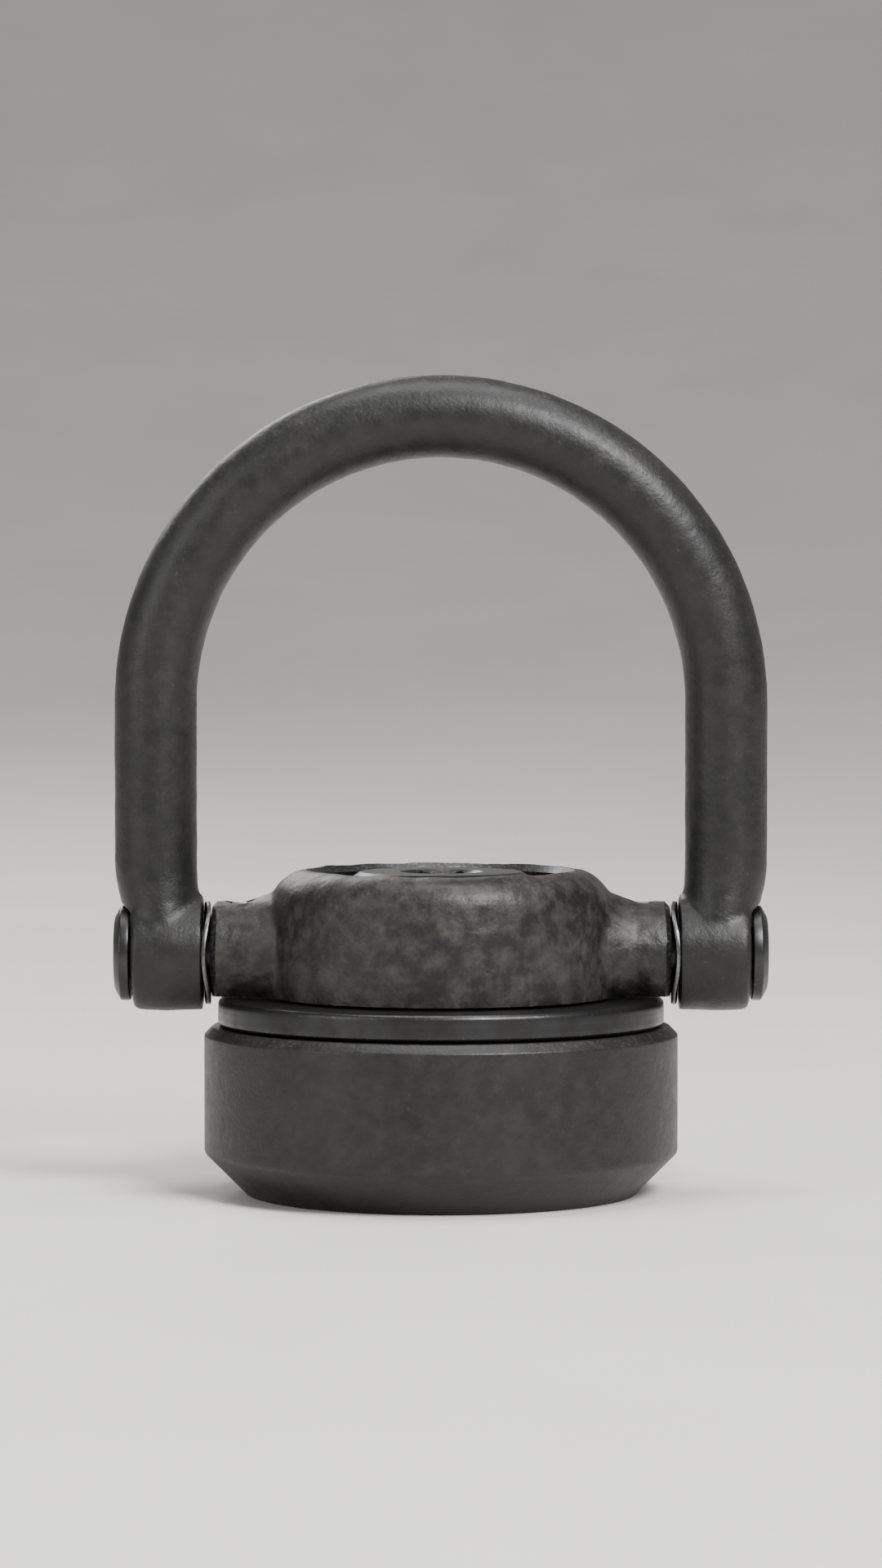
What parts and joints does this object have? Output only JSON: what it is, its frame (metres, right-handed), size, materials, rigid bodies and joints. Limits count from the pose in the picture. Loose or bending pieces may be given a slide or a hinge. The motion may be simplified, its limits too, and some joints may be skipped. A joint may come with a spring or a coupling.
{
  "type": "swivel hoist ring",
  "caption": "Weld-on lifting point: a round-bar bail that tilts on a body, which turns on a ball bearing above a round base.",
  "frame": {"origin": "centre of the weld base's flat underside", "axes": "+Z along the swivel axis, away from the surface it is welded to; X along the bail's pivot axis; Y through the bail's opening"},
  "size_m": [0.047, 0.034, 0.0587],
  "materials": {
    "black_coat": "thin satin black coating over steel, dusty and slightly rubbed",
    "black_oxide": "black oxide on machined steel",
    "bearing_steel": "ground and polished hardened steel",
    "spring_steel": "plain spring steel",
    "bronze": "machined bearing bronze",
    "rubber": "black nitrile rubber"
  },
  "bodies": {
    "base": {"weld_base": "black_coat", "flanged_bushing": "black_oxide", "mounting_bolt": "black_oxide", "cover_washer": "black_oxide", "upper_race": "bearing_steel"},
    "ball_set": {"ball_cage": "bronze", "ball_01": "bearing_steel", "ball_02": "bearing_steel", "ball_03": "bearing_steel", "ball_04": "bearing_steel", "ball_05": "bearing_steel", "ball_06": "bearing_steel", "ball_07": "bearing_steel", "ball_08": "bearing_steel", "ball_09": "bearing_steel", "ball_10": "bearing_steel", "ball_11": "bearing_steel", "ball_12": "bearing_steel"},
    "swivel": {"swivel_body": "black_coat", "lower_race": "bearing_steel", "swivel_bush": "bronze", "grease_seal": "rubber", "pivot_pin_right": "black_oxide", "pivot_pin_left": "black_oxide", "roll_pin_right": "spring_steel", "roll_pin_left": "spring_steel", "friction_ring_right": "spring_steel", "friction_ring_left": "spring_steel"},
    "bail": {"bail": "black_coat"}
  },
  "joints": [
    {"name": "body_swivel", "type": "hinge", "parent": "base", "child": "swivel", "pos_m": [0, 0, 0], "axis": [0, 0, 1], "continuous": true},
    {"name": "cage_spin", "type": "hinge", "parent": "base", "child": "ball_set", "pos_m": [0, 0, 0], "axis": [0, 0, 1], "continuous": true},
    {"name": "bail_tilt", "type": "hinge", "parent": "swivel", "child": "bail", "pos_m": [0, 0, 0.0172], "axis": [1, 0, 0], "range_deg": [-110, 110]}
  ],
  "couplings": [
    {"joint": "cage_spin", "follows": "body_swivel", "ratio": 0.5}
  ]
}
